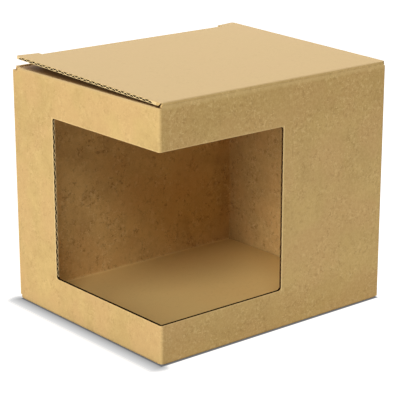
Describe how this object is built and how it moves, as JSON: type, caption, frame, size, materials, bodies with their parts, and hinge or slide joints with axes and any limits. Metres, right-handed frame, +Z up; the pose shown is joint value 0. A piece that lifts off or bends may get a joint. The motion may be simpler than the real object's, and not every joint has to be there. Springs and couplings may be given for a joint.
{
  "type": "window mug box",
  "caption": "Folded fluted-board box for a mug, with an L-shaped window cut round one upright corner and a tuck lid hinged on the front's top crease.",
  "frame": {"origin": "centre of the box's footprint, on the surface that it stands on", "axes": "+Z up; the front wall, whose top crease carries the lid, faces -Y; the window corner is at -X -Y and +X runs along the front away from it"},
  "size_m": [0.115, 0.094, 0.1026],
  "materials": {
    "kraft_board": "bare uncoated brown kraft board with fine fibres, pale crushed creases and open waves at the cut edges"
  },
  "bodies": {
    "carton": {"carton": "kraft_board"},
    "lid": {"lid": "kraft_board"}
  },
  "joints": [
    {"name": "lid_crease", "type": "hinge", "parent": "carton", "child": "lid", "pos_m": [0, -0.04671, 0.09971], "axis": [1, 0, 0], "range_deg": [-1.6, 178]}
  ]
}
